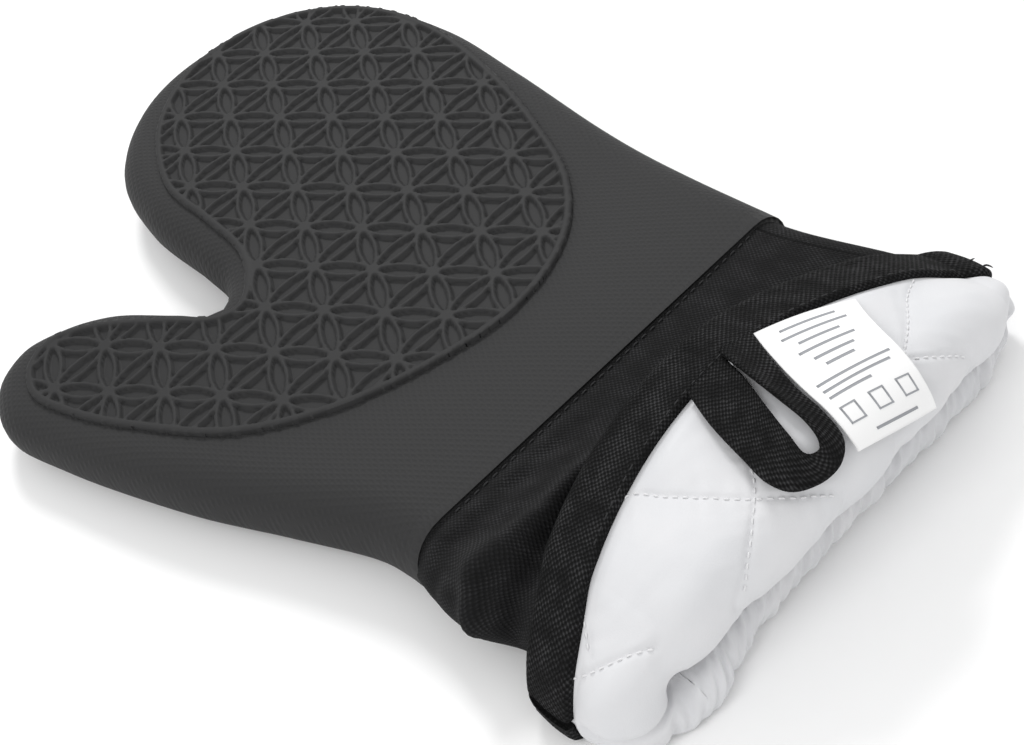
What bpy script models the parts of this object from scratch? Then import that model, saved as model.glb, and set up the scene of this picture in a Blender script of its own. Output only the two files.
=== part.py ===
"""Heat resistant oven mitt: a moulded silicone shell over a quilted cotton liner. Its
quilted cuff is turned back over itself, with a bound edge, hanging loop and care label.

Metres, +Z up. The mitt lies on its back on z = 0, fingers towards +Y, thumb at -X.
"""

import math

import bmesh
import bpy
import numpy as np

MM = 0.001

# Driving dimensions, in millimetres, in the drafting frame of the outline below.
SHELL_END_Y = -123.0  # where the silicone stops and the canvas cuff begins
LINER_END_Y = -114.6  # where the hand's liner stops
CUFF_START_Y = -115.0  # the cuff's layers start here, tucked under the silicone
PALM_THICKNESS = 25.0  # over the fingers and palm
CUFF_THICKNESS = 32.0  # where the silicone ends
THUMB_THICKNESS = 22.0
GAP = 0.35  # between neighbouring layers
TUCK_GAP = 0.85  # round the canvas where it is tucked under the silicone
SILICONE_WALL = 2.0
HAND_WADDING = 4.0
CLOTH = 1.1  # lining and canvas

# Depths in the cuff's quilt, from its cotton face to its canvas face.
LINING = (0.0, 1.1)
WADDING = (1.45, 5.25)
CANVAS = (5.6, 6.6)
WADDING_PINCH = 2.2  # how much thinner the wadding is under the binding
TAPE = 1.0
TAPE_WIDTH = 12.5
TAPE_JOIN = 0.07  # the gap between the two lengths, as a share of one facet

# Cross sections of the cuff: a straight core with rounded ends.
SHELL_CENTRE_X = 11.5
SHELL_CORE = 62.5
MOUTH_CENTRE_X = 21.5
MOUTH_CORE = 66.0
MOUTH_HALF_SLIT = 3.5
MOUTH_Z = 20.7

# The turned-back lip.
LIP_RADIUS_TOP = 12.5
LIP_RADIUS_END = 9.0
LIP_RADIUS_UNDER = 8.6
LIP_RADIUS_SIDE = 8.5
LIP_Y_TOP = -189.0
LIP_Y_UNDER = -188.0
LIP_BOW = 11.0
EDGE_Y_TOP = -146.0
EDGE_Y_UNDER = -161.0
EDGE_BOW = 14.0
EDGE_DROP = 6.0  # how much nearer the mouth the bound edge lies than the lip, on top
EDGE_DROP_UNDER = 2.6  # and underneath

THREAD_RADIUS = 0.4
LOOP_THICKNESS = 2.4
LABEL_THICKNESS = 0.5

# The middle of the mitt's box, on the table, is the frame's origin.
ORIGIN_X = 0.425
ORIGIN_Y = -41.6945

# Plan outline of the silicone, clockwise from the cuff's little-finger side.
OUTLINE = [
    (86.5, -150), (86.5, -124), (86.5, -110), (87.2, -90), (90.5, -48), (97, 0),
    (100.8, 40), (95.2, 78.5), (75.5, 107.5), (35, 119), (6, 112.5), (-18, 90.5),
    (-26.5, 62), (-27.5, 29), (-30, 10), (-37.5, 2.5), (-45, 13.5), (-58, 33.5),
    (-71, 44), (-86, 49), (-101, 42.5), (-108, 27), (-104.5, 4), (-89.5, -44),
    (-76, -77), (-65, -105), (-63.5, -114), (-63.5, -124), (-63.5, -150),
]

COLOURS = {
    "silicone": ((0.045, 0.045, 0.047), 0.62),
    "canvas": ((0.012, 0.012, 0.013), 0.92),
    "cotton": ((0.80, 0.80, 0.82), 0.9),
    "wadding": ((0.85, 0.85, 0.83), 1.0),
    "black_thread": ((0.01, 0.01, 0.011), 0.8),
    "white_thread": ((0.82, 0.82, 0.83), 0.8),
    "label_satin": ((0.88, 0.88, 0.88), 0.55),
}

AROUND_STRAIGHT = 12
AROUND_CAP = 7


def clear_scene():
    for obj in list(bpy.data.objects):
        bpy.data.objects.remove(obj)


def material(name):
    """A Principled material with this finish's colour and roughness."""
    found = bpy.data.materials.get(name)
    if found:
        return found
    colour, roughness = COLOURS[name]
    made = bpy.data.materials.new(name)
    made.use_nodes = True
    shader = made.node_tree.nodes["Principled BSDF"]
    shader.inputs["Base Color"].default_value = (*colour, 1)
    shader.inputs["Roughness"].default_value = roughness
    shader.inputs["Metallic"].default_value = 0
    return made


def smooth_step(value, low, high):
    t = min(1.0, max(0.0, (value - low) / (high - low)))
    return t * t * (3 - 2 * t)


def mix(a, b, share):
    return a + (b - a) * share


def thickness_at(x, y):
    """Mitt thickness: thin at the thumb, thicker towards the cuff."""
    thumb = smooth_step(-x, 40, 85) * smooth_step(y, -40, 10)
    cuff = smooth_step(-y, 20, 112)
    thick = mix(PALM_THICKNESS, CUFF_THICKNESS, cuff)
    return thick + (THUMB_THICKNESS - PALM_THICKNESS) * thumb


def to_world(x, y, z):
    return ((x - ORIGIN_X) * MM, (y - ORIGIN_Y) * MM, z * MM)


def add_object(name, points, faces, slot, origin=None):
    """A named mesh object; points are in drafting millimetres."""
    start = np.array(to_world(*origin)) if origin else np.zeros(3)
    mesh = bpy.data.meshes.new(name)
    mesh.from_pydata([tuple(np.array(to_world(*p)) - start) for p in points], [], faces)
    bm = bmesh.new()
    bm.from_mesh(mesh)
    bmesh.ops.recalc_face_normals(bm, faces=bm.faces)
    bm.to_mesh(mesh)
    bm.free()
    obj = bpy.data.objects.new(name, mesh)
    obj.location = start
    bpy.data.collections["oven_mitt"].objects.link(obj)
    mesh.materials.append(material(slot))
    return obj


# ---------------------------------------------------------------- hand layers


def slab_mesh(inset, half_height):
    """The outline as a slab with half-round edges, inset by that much, around z = 0."""
    curve = bpy.data.curves.new("slab", "CURVE")
    curve.dimensions = "2D"
    curve.fill_mode = "BOTH"
    curve.resolution_u = 2
    curve.bevel_depth = half_height
    curve.bevel_resolution = 2
    curve.offset = -(half_height + inset)
    spline = curve.splines.new("BEZIER")
    spline.use_cyclic_u = True
    spline.bezier_points.add(len(OUTLINE) - 1)
    for point, (x, y) in zip(spline.bezier_points, OUTLINE):
        point.co = (x, y, 0)
        point.handle_left_type = "AUTO"
        point.handle_right_type = "AUTO"
    holder = bpy.data.objects.new("slab", curve)
    bpy.context.scene.collection.objects.link(holder)
    bpy.context.view_layer.update()
    graph = bpy.context.evaluated_depsgraph_get()
    mesh = bpy.data.meshes.new_from_object(holder.evaluated_get(graph))
    bpy.data.objects.remove(holder)
    bpy.data.curves.remove(curve)
    return mesh


def cut_plane(bm, point, normal, **clear):
    geometry = bm.verts[:] + bm.edges[:] + bm.faces[:]
    bmesh.ops.bisect_plane(bm, geom=geometry, plane_co=point, plane_no=normal, dist=1e-4, **clear)


def hand_layer(name, inset, wall, end_y, slot):
    """A bag in the mitt's shape, open at the cuff, that deep below the silicone's face."""
    half = PALM_THICKNESS / 2 - inset
    bm = bmesh.new()
    bm.from_mesh(slab_mesh(inset, half))
    bmesh.ops.remove_doubles(bm, verts=bm.verts, dist=1e-3)
    for x in (-72, -54, -36, 0, 40):
        cut_plane(bm, (x, 0, 0), (1, 0, 0))
    for y in (-95, -75, -55, -35, -15, 0, 20):
        cut_plane(bm, (0, y, 0), (0, 1, 0))
    cut_plane(bm, (0, end_y, 0), (0, -1, 0), clear_outer=True)
    bmesh.ops.recalc_face_normals(bm, faces=bm.faces)
    for vert in bm.verts:
        x, y, z = vert.co
        centre = thickness_at(x, y) / 2
        vert.co = to_world(x, y, centre + z / half * (centre - inset))
    mesh = bpy.data.meshes.new(name)
    bm.to_mesh(mesh)
    bm.free()
    obj = bpy.data.objects.new(name, mesh)
    bpy.data.collections["oven_mitt"].objects.link(obj)
    mesh.materials.append(material(slot))
    modifier = obj.modifiers.new("wall", "SOLIDIFY")
    modifier.thickness = wall * MM
    modifier.offset = -1
    return obj


# ---------------------------------------------------------------- turned-back cuff


def quilt_depth(depth, pinch):
    """Depth after the wadding has been pinched thinner; pinch runs 0 to 1."""
    squeezed = min(1.0, max(0.0, (depth - WADDING[0]) / (WADDING[1] - WADDING[0])))
    return depth - WADDING_PINCH * pinch * squeezed


def cuff_point(place, station, depth):
    """A point of the cuff.

    place is (core, nx, nz): how far along the straight core, -1 to 1, and the outward
    direction. station runs 0 to 1 from inside the shell to the lip, 1 to 2 round the
    lip and 2 to 3 back to the bound edge. depth is below the cotton face.
    """
    core, nx, nz = place
    lateral = abs(core * 0.85 + nx * 0.15)
    over = (1 + nz) / 2
    top = mix(LIP_RADIUS_TOP, LIP_RADIUS_END, abs(core) ** 2.5)
    radius = LIP_RADIUS_SIDE
    radius += (top - LIP_RADIUS_SIDE) * max(nz, 0) ** 2
    radius += (LIP_RADIUS_UNDER - LIP_RADIUS_SIDE) * max(-nz, 0) ** 2
    lip_y = mix(LIP_Y_UNDER, LIP_Y_TOP, over) + LIP_BOW * lateral ** 2.6
    edge_y = mix(EDGE_Y_UNDER, EDGE_Y_TOP - EDGE_BOW * lateral ** 2.4, over)
    if station < 1:
        y, rise = mix(CUFF_START_Y, lip_y, station), depth
    elif station < 2:
        angle = math.pi * (station - 1)
        y = lip_y - (radius - depth) * math.sin(angle)
        rise = radius - (radius - depth) * math.cos(angle)
    else:
        along = station - 2
        tape_y = edge_y - TAPE_WIDTH
        y = mix(lip_y, tape_y, along * 2) if along < 0.5 else mix(tape_y, edge_y, along * 2 - 1)
        drop = EDGE_DROP * max(nz, 0) ** 2 * (1 - abs(core) ** 2.5) * smooth_step(along, 0.0, 1)
        drop += EDGE_DROP_UNDER * max(-nz, 0) ** 2 * smooth_step(along, 0.0, 0.5)
        rise = 2 * radius - drop - quilt_depth(depth, smooth_step(along, 0.1, 0.5))
    mouth_x = MOUTH_CENTRE_X + core * MOUTH_CORE + nx * (MOUTH_HALF_SLIT + rise)
    mouth_z = MOUTH_Z + nz * (MOUTH_HALF_SLIT + rise)
    inset = SILICONE_WALL + TUCK_GAP + CANVAS[1] - depth
    shell_x = SHELL_CENTRE_X + core * SHELL_CORE + nx * (PALM_THICKNESS / 2 - inset)
    shell_z = CUFF_THICKNESS / 2 + nz * (CUFF_THICKNESS / 2 - inset)
    near_mouth = smooth_step(station, 0.15, 0.8)
    return (mix(shell_x, mouth_x, near_mouth), y, mix(shell_z, mouth_z, near_mouth))


def ring_places():
    """Places all the way round the cuff, from the little-finger side over the top."""
    places = [(1 - 2 * i / AROUND_STRAIGHT, 0.0, 1.0) for i in range(AROUND_STRAIGHT)]
    for i in range(AROUND_CAP):
        turned = math.pi * i / AROUND_CAP
        places.append((-1.0, -math.sin(turned), math.cos(turned)))
    places += [(-1 + 2 * i / AROUND_STRAIGHT, 0.0, -1.0) for i in range(AROUND_STRAIGHT)]
    for i in range(AROUND_CAP):
        turned = math.pi * i / AROUND_CAP
        places.append((1.0, math.sin(turned), -math.cos(turned)))
    return places


def sweep(name, rows, slot, closed=True, origin=None):
    """Joins rows of points, each a closed section, into a solid; capped if not closed.

    Every layer's quads are halved the same way, so neighbouring layers stay parallel.
    """
    count = len(rows[0])
    faces = []
    for i in range(len(rows) if closed else len(rows) - 1):
        j = (i + 1) % len(rows)
        for k in range(count):
            m = (k + 1) % count
            a, b, c, d = i * count + k, j * count + k, j * count + m, i * count + m
            if rows[i][k][1] < rows[i][m][1]:
                faces += [(a, b, c), (a, c, d)]
            else:
                faces += [(a, b, d), (b, c, d)]
    if not closed:
        faces.append(tuple(range(count)))
        faces.append(tuple(reversed(range((len(rows) - 1) * count, len(rows) * count))))
    return add_object(name, [p for row in rows for p in row], faces, slot, origin)


def cuff_layer(name, depths, slot):
    """One cloth or wadding layer of the cuff, all the way from the shell to its edge."""
    stations = [0, 0.15, 0.4, 0.6, 0.8, 1, 1.25, 1.5, 1.75, 2, 2.17, 2.33, 2.5, 2.75, 3]
    section = [(s, depths[0]) for s in stations] + [(s, depths[1]) for s in reversed(stations)]
    rows = [[cuff_point(place, s, d) for s, d in section] for place in ring_places()]
    return sweep(name, rows, slot)


def tape_section(place):
    """The binding's U section round the quilt's edge: over it, round it and back under."""
    top = -GAP
    under = CANVAS[1] + GAP
    outer = [cuff_point(place, s, top - TAPE) for s in (2.5, 2.75, 3)]
    outer += [past_edge(place, GAP + TAPE, top), past_edge(place, GAP + TAPE, under)]
    outer += [cuff_point(place, s, under + TAPE) for s in (3, 2.75, 2.5)]
    inner = [cuff_point(place, s, under) for s in (2.5, 2.75)] + [past_edge(place, GAP, under)]
    inner += [past_edge(place, GAP, top)] + [cuff_point(place, s, top) for s in (2.75, 2.5)]
    return outer + inner


def past_edge(place, beyond, depth):
    """A point that far past the quilt's cut edge."""
    x, y, z = cuff_point(place, 3, depth)
    return (x, y + beyond, z)


def binding():
    """The tape round the quilt's edge: one length over it, one under, almost meeting."""
    rows = [np.array(tape_section(place)) for place in ring_places()]
    left = AROUND_STRAIGHT + 4
    right = 2 * AROUND_STRAIGHT + AROUND_CAP + 3
    sweep("binding_over", rows[right:] + rows[:left + 1], "canvas", False)
    first = mix(rows[left], rows[left + 1], TAPE_JOIN)
    last = mix(rows[right], rows[right - 1], TAPE_JOIN)
    sweep("binding_under", [first] + rows[left + 1:right] + [last], "canvas", False)


def tube(name, centres, radius, slot, closed=False):
    """A thread along the given points."""
    points = [np.array(p, float) for p in centres]
    rows = []
    for i, point in enumerate(points):
        before = points[i - 1] if i or closed else points[i]
        after = points[(i + 1) % len(points)] if i + 1 < len(points) or closed else point
        ahead = after - before
        ahead /= np.linalg.norm(ahead)
        side = np.cross(ahead, (0.0, 0.0, 1.0))
        if np.linalg.norm(side) < 0.2:
            side = np.cross(ahead, (0.0, 1.0, 0.0))
        side /= np.linalg.norm(side)
        up = np.cross(side, ahead)
        turns = [2 * math.pi * k / 6 for k in range(6)]
        rows.append([tuple(point + radius * (side * math.cos(t) + up * math.sin(t))) for t in turns])
    return sweep(name, rows, slot, closed)


def roll_point(x, station, depth):
    """A point on the cuff's upper side at that x."""
    return cuff_point(((x - MOUTH_CENTRE_X) / MOUTH_CORE, 0.0, 1.0), station, depth)


def quilt_thread(name, stops):
    """A run of quilting stitches lying on the lining, through (x, station) stops."""
    centres = []
    for (x0, s0), (x1, s1) in zip(stops, stops[1:]):
        for i in range(6):
            centres.append(roll_point(mix(x0, x1, i / 6), mix(s0, s1, i / 6), -GAP - THREAD_RADIUS))
    centres.append(roll_point(*stops[-1], -GAP - THREAD_RADIUS))
    return tube(name, centres, THREAD_RADIUS, "white_thread")


def flap(name, edges, thickness, slot):
    """A flat piece of tape lying on the roll; edges holds both edges' (x, station).

    Its origin is on its hinge line, the middle of its top edge.
    """
    low = -2 * GAP
    high = low - thickness
    rows = []
    for left, right in edges:
        middle = (mix(left[0], right[0], 0.5), mix(left[1], right[1], 0.5))
        under = [roll_point(*spot, low) for spot in (left, middle, right)]
        rows.append(under + [roll_point(*spot, high) for spot in (right, middle, left)])
    start = np.array(rows[0][5])
    end = np.array(rows[0][3] if name == "care_label" else rows[-1][5])
    return sweep(name, rows, slot, False, tuple((start + end) / 2))


def add_threads():
    """Visible seams, each a gap clear of the cloth it holds."""
    lift = GAP + THREAD_RADIUS
    top = [place for place in ring_places() if place[2] > 0.99]
    seam = [cuff_point(place, 0.17, CANVAS[1] + lift) for place in top]
    tube("shell_seam_thread", seam, THREAD_RADIUS, "black_thread")
    hem = [cuff_point(place, 2.57, -GAP - TAPE - lift) for place in top]
    tube("binding_thread_over", hem, THREAD_RADIUS, "black_thread")
    for number, spot, bends in (
        (1, (0.97, 0.0, 1.0), ((2, 3, 1.5), (6, 7, 1), (9, 9, -2))),
        (2, (1.0, 0.1, 0.99), ((4, 1, 2), (9, 3, 2), (13, 6, 0))),
    ):
        start = np.array(cuff_point(spot, 3, -GAP - TAPE - lift - 0.4))
        ends = [start] + [start + np.array(bend) for bend in bends]
        tube("frayed_thread_%d" % number, ends, THREAD_RADIUS, "black_thread")
    under = [place for place in ring_places() if place[2] < -0.99]
    hem = [cuff_point(place, 2.57, -GAP - TAPE - lift) for place in under]
    tube("binding_thread_under", hem, THREAD_RADIUS, "black_thread")
    quilt_thread("quilting_thread_1", [(-27, 2.47), (-16, 2.26), (-5.5, 2.06)])
    quilt_thread("quilting_thread_2", [(-1, 1.68), (6, 1.5), (12, 1.33)])
    quilt_thread("quilting_thread_3", [(-5.5, 1.93), (-20, 1.55), (-29, 1.3)])
    quilt_thread("quilting_thread_4", [(76, 2.4), (68, 2.25), (60, 2.08)])
    quilt_thread("quilting_thread_5", [(53, 1.86), (62, 1.6), (70, 1.35)])


def add_flaps():
    """The hanging loop and the care label, side by side under the binding's edge."""
    loop = [
        ((8.4, 2.47), (18.5, 2.47)), ((4.2, 2.31), (15.2, 2.31)), ((0.6, 2.1), (11, 2.12)),
        ((-1.2, 1.95), (8.8, 1.97)), ((0.6, 1.83), (8.8, 1.9)), ((6.3, 1.765), (10.6, 1.872)),
        ((13, 1.755), (12.8, 1.868)), ((18, 1.81), (14.6, 1.9)), ((20.2, 1.96), (15.9, 2.0)),
        ((22.3, 2.13), (17.2, 2.15)), ((26.9, 2.33), (20.2, 2.35)), ((31, 2.47), (23.4, 2.47)),
    ]
    flap("hanging_loop", loop, LOOP_THICKNESS, "canvas")
    label = [
        ((33.4, 2.46), (57.1, 2.36)), ((29.3, 2.31), (52, 2.18)), ((24.9, 2.12), (47.6, 1.99)),
        ((21.9, 1.93), (44.6, 1.8)), ((20.2, 1.76), (43.3, 1.62)),
    ]
    flap("care_label", label, LABEL_THICKNESS, "label_satin")


def main():
    clear_scene()
    collection = bpy.data.collections.new("oven_mitt")
    bpy.context.scene.collection.children.link(collection)
    inset = 0.0
    hand_layer("silicone_shell", inset, SILICONE_WALL, SHELL_END_Y, "silicone")
    inset += SILICONE_WALL + GAP
    hand_layer("hand_wadding", inset, HAND_WADDING, LINER_END_Y, "wadding")
    inset += HAND_WADDING + GAP
    hand_layer("hand_lining", inset, CLOTH, LINER_END_Y, "cotton")
    cuff_layer("cuff_lining", LINING, "cotton")
    cuff_layer("cuff_wadding", WADDING, "wadding")
    cuff_layer("cuff_canvas", CANVAS, "canvas")
    binding()
    add_threads()
    add_flaps()


main()
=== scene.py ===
# Heat resistant oven mitt: its looks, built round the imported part. Lengths are in millimetres in
# the frame that the mitt was drafted in, and toWorld turns them to metres in the part's frame.
import math

import bpy
import numpy as np
from mathutils import Matrix, Vector
from mathutils.bvhtree import BVHTree
from mathutils.geometry import delaunay_2d_cdt


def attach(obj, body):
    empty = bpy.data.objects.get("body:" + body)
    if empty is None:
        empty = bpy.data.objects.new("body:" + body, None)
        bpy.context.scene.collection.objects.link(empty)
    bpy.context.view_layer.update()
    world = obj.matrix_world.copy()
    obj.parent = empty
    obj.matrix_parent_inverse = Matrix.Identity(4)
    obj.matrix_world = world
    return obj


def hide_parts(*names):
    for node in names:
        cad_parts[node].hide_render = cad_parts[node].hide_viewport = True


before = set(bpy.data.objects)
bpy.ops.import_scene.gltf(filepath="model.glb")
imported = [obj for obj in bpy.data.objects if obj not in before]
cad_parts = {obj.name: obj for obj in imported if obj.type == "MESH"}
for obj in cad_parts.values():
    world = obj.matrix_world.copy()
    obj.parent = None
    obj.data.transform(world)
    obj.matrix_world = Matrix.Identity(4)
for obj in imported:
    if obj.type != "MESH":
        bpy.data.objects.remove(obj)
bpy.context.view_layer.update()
origin = np.array([0.425, -41.6945, 0.0])  # the part's origin, in drafting millimetres
palmTop = 25.0  # height of the palm side above the table


# Metres in the part's frame: (millimetres - origin) / 1000.
def toWorld(points):
    return (np.asarray(points, float) - origin) * 0.001


# 0 below low, 1 above high, and 3t^2 - 2t^3 between them, t being the share of the way.
def smooth(value, low, high):
    t = np.clip((value - low) / (high - low), 0, 1)
    return t * t * (3 - 2 * t)


# The value that share of the way from a to b.
def mix(a, b, share):
    return a + (b - a) * share


# A mesh object from millimetre points and a list of face index arrays.
def makeMesh(name, points, faces, material, body="mitt"):
    mesh = bpy.data.meshes.new(name)
    lists = []
    for block in faces:
        lists += np.asarray(block, int).tolist()
    mesh.from_pydata(toWorld(points).tolist(), [], lists)
    mesh.shade_smooth()
    mesh.materials.append(material)
    made = bpy.data.objects.new(name, mesh)
    bpy.context.scene.collection.objects.link(made)
    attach(made, body)
    return made


# Quads over a rows by columns grid of points, wrapping round where closed.
def gridFaces(rows, columns, closedRows=False, closedColumns=False, first=0, flip=False):
    r = np.arange(rows if closedRows else rows - 1)[:, None]
    c = np.arange(columns if closedColumns else columns - 1)[None, :]
    r2, c2 = (r + 1) % rows, (c + 1) % columns
    corners = (r * columns + c, r2 * columns + c, r2 * columns + c2, r * columns + c2)
    quads = np.stack(np.broadcast_arrays(*corners), -1)
    quads = quads.reshape(-1, 4) + first
    return quads[:, ::-1] if flip else quads


print("materials")


def newMaterial(name, colour, roughness, sheen=0.0, specular=0.5):
    made = bpy.data.materials.new(name)
    made.use_nodes = True
    shader = made.node_tree.nodes["Principled BSDF"]
    shader.inputs["Base Color"].default_value = (*colour, 1)
    shader.inputs["Roughness"].default_value = roughness
    shader.inputs["Sheen Weight"].default_value = sheen
    shader.inputs["Specular IOR Level"].default_value = specular
    return made


# A node with its properties set.
def addNode(material, kind, **values):
    node = material.node_tree.nodes.new(kind)
    for key, value in values.items():
        setattr(node, key, value)
    return node


def wire(material, fromSocket, toSocket):
    material.node_tree.links.new(fromSocket, toSocket)


# A maths node's output from two sockets or numbers.
def mathNode(material, operation, a, b=None):
    node = addNode(material, "ShaderNodeMath", operation=operation)
    for socket, value in zip(node.inputs, (a, b)):
        if isinstance(value, (int, float)):
            socket.default_value = value
        elif value is not None:
            wire(material, value, socket)
    return node.outputs[0]


# The base colour goes from dark to pale with a share socket.
def blend(material, share, dark, pale):
    node = addNode(material, "ShaderNodeMix", data_type="RGBA")
    node.inputs["A"].default_value = (*dark, 1)
    node.inputs["B"].default_value = (*pale, 1)
    wire(material, share, node.inputs["Factor"])
    wire(material, node.outputs["Result"], material.node_tree.nodes["Principled BSDF"].inputs["Base Color"])


def bump(material, height, distance, strength=1.0):
    node = addNode(material, "ShaderNodeBump")
    node.inputs["Distance"].default_value = distance
    node.inputs["Strength"].default_value = strength
    wire(material, height, node.inputs["Height"])
    wire(material, node.outputs["Normal"], material.node_tree.nodes["Principled BSDF"].inputs["Normal"])


def noise(material, vector, scale, detail=2.0):
    node = addNode(material, "ShaderNodeTexNoise")
    node.inputs["Scale"].default_value = scale
    node.inputs["Detail"].default_value = detail
    wire(material, vector, node.inputs["Vector"])
    return node.outputs["Fac"]


weaveShape = {
    "waverScale": 7.0, "waver": 3.4, "patchScale": 1.6, "patch": 2.0, "patchLow": -0.1, "sharp": 2.6,
}


# Staggered yarn pips on the piece's own cloth coordinates: pip = (1 + sin u sin v) / 2. The colour
# goes from dark to pale with (pip x patch)^sharp, patch being a slow noise.
def weave(material, pitch, dark, pale, relief):
    w = weaveShape
    uv = addNode(material, "ShaderNodeUVMap", uv_map="weave").outputs["UV"]
    split = addNode(material, "ShaderNodeSeparateXYZ")
    wire(material, uv, split.inputs[0])
    waver = mathNode(material, "MULTIPLY", noise(material, uv, w["waverScale"]), w["waver"])
    turns = 2 * math.pi / (pitch * 0.1)
    sines = []
    for socket in (split.outputs[0], split.outputs[1]):
        angle = mathNode(material, "ADD", mathNode(material, "MULTIPLY", socket, turns), waver)
        sines.append(mathNode(material, "SINE", angle))
    pip = mathNode(material, "MULTIPLY", mathNode(material, "MULTIPLY", *sines), 0.5)
    pip = mathNode(material, "ADD", pip, 0.5)
    patch = mathNode(material, "MULTIPLY", noise(material, uv, w["patchScale"], 4.0), w["patch"])
    patch = mathNode(material, "ADD", patch, w["patchLow"])
    patchy = mathNode(material, "MULTIPLY", pip, patch)
    blend(material, mathNode(material, "POWER", patchy, w["sharp"]), dark, pale)
    bump(material, pip, relief)


hatchShape = {"pitch": 0.0021, "slant": 0.62, "grainScale": 900.0, "grain": 0.9, "relief": 0.00008}


# Fine cross hatch: the higher of two slanting sine waves, with a little grain. In metres.
def crossHatch(material):
    h = hatchShape
    spot = addNode(material, "ShaderNodeTexCoord").outputs["Object"]
    split = addNode(material, "ShaderNodeSeparateXYZ")
    wire(material, spot, split.inputs[0])
    sines = []
    for slant in (h["slant"], -h["slant"]):
        along = mathNode(material, "MULTIPLY", split.outputs[1], slant)
        along = mathNode(material, "ADD", split.outputs[0], along)
        angle = mathNode(material, "MULTIPLY", along, 2 * math.pi / h["pitch"])
        sines.append(mathNode(material, "SINE", angle))
    hatch = mathNode(material, "MAXIMUM", *sines)
    grain = mathNode(material, "MULTIPLY", noise(material, spot, h["grainScale"]), h["grain"])
    bump(material, mathNode(material, "ADD", hatch, grain), h["relief"])


siliconeMaterial = newMaterial("silicone", (0.032, 0.032, 0.0325), 0.65, specular=0.12)
crossHatch(siliconeMaterial)
gripMaterial = newMaterial("grip", (0.031, 0.031, 0.0315), 0.6, specular=0.12)
canvasMaterial = newMaterial("canvas", (0.013, 0.013, 0.014), 0.95, specular=0.15)
weave(canvasMaterial, 1.3, (0.011, 0.011, 0.0113), (0.033, 0.033, 0.0345), 0.0003)
tapeMaterial = newMaterial("tape", (0.011, 0.011, 0.012), 0.95, specular=0.15)
weave(tapeMaterial, 1.5, (0.004, 0.004, 0.0041), (0.041, 0.041, 0.0425), 0.0005)
cottonMaterial = newMaterial("cotton", (0.70, 0.70, 0.72), 0.95, sheen=0.1, specular=0.15)
cottonSpot = addNode(cottonMaterial, "ShaderNodeTexCoord").outputs["Object"]
mottle = noise(cottonMaterial, cottonSpot, 45.0, 4.0)
blend(cottonMaterial, mottle, (0.62, 0.63, 0.65), (0.70, 0.695, 0.705))
bump(cottonMaterial, noise(cottonMaterial, cottonSpot, 2600.0), 0.0001, 0.5)  # fine cloth grain
waddingMaterial = newMaterial("wadding", (0.85, 0.85, 0.84), 1.0)
whiteThreadMaterial = newMaterial("whiteThread", (0.72, 0.72, 0.73), 0.8)
blackThreadMaterial = newMaterial("blackThread", (0.012, 0.012, 0.013), 0.8)
labelMaterial = newMaterial("label", (0.86, 0.86, 0.86), 0.6)
inkMaterial = newMaterial("ink", (0.30, 0.31, 0.33), 0.8)

handShape = {
    # the hand's outline, from the right of the cuff over the fingers and the thumb to the left
    "outline": [
        (86.5, -124), (86.5, -110), (87.2, -90), (90.5, -48), (97, 0), (100.8, 40),
        (95.2, 78.5), (75.5, 107.5), (35, 119), (6, 112.5), (-18, 90.5), (-26.5, 62),
        (-27.5, 29), (-30, 10), (-37.5, 2.5), (-45, 13.5), (-58, 33.5), (-71, 44),
        (-86, 49), (-101, 42.5), (-108.5, 27), (-104.5, 4), (-89.5, -44), (-75.5, -77),
        (-64.5, -105), (-63.2, -114), (-62.8, -124),
    ],
    # the border of the grip relief
    "border": [
        (93, 38), (86, 0), (76, -30), (62, -59), (41, -78), (14, -85.5), (-19, -79),
        (-47.5, -65), (-69, -46), (-84, -19), (-93, 5), (-96, 22), (-90, 34),
        (-79, 37.5), (-66.5, 29), (-52, 9.5), (-41, -6), (-34, -8), (-26, -1),
        (-19.5, 12), (-17, 35), (-15, 60), (0, 88), (19, 103), (38, 108.5),
        (62, 103), (81, 87), (91, 65),
    ],
    "endY": -123.0,
    "cuffThickness": 29.0, "cuffFrom": 55.0, "cuffTo": 123.0,
    "thumbThickness": 22.5, "thumbX": (40, 85), "thumbY": (-40, 10),
    "edgePower": 2.15,
    "layers": [("handWadding", 2.5, 3.5), ("handLining", 6.4, 1.0)],  # depth and thickness
    "layersEndY": -110.0,
}


# Points at even spacing along a centripetal Catmull-Rom curve through the stops.
def curveThrough(stops, spacing, closed):
    p = np.array(stops, float)
    if closed:
        p = np.vstack([p[-1], p, p[0], p[1]])
    else:
        p = np.vstack([2 * p[0] - p[1], p, 2 * p[-1] - p[-2]])
    pieces = []
    t = np.linspace(0, 1, 24, endpoint=False)[:, None]
    for a, b, c, d in zip(p, p[1:], p[2:], p[3:]):
        k0, k1, k2 = (np.linalg.norm(v) ** 0.5 for v in (b - a, c - b, d - c))
        m1 = k1 * ((b - a) / k0 - (c - a) / (k0 + k1)) + (c - b)
        m2 = k1 * ((d - c) / k2 - (d - b) / (k1 + k2)) + (c - b)
        pieces.append((2 * t**3 - 3 * t**2 + 1) * b + (t**3 - 2 * t**2 + t) * m1
                      + (3 * t**2 - 2 * t**3) * c + (t**3 - t**2) * m2)
    dense = np.vstack(pieces + [p[-2:-1]])
    along = np.concatenate([[0], np.cumsum(np.linalg.norm(np.diff(dense, axis=0), axis=1))])
    count = int(round(along[-1] / spacing))
    even = np.linspace(0, along[-1], count + 1)[: count if closed else count + 1]
    return np.stack([np.interp(even, along, dense[:, k]) for k in range(2)], 1)


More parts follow.
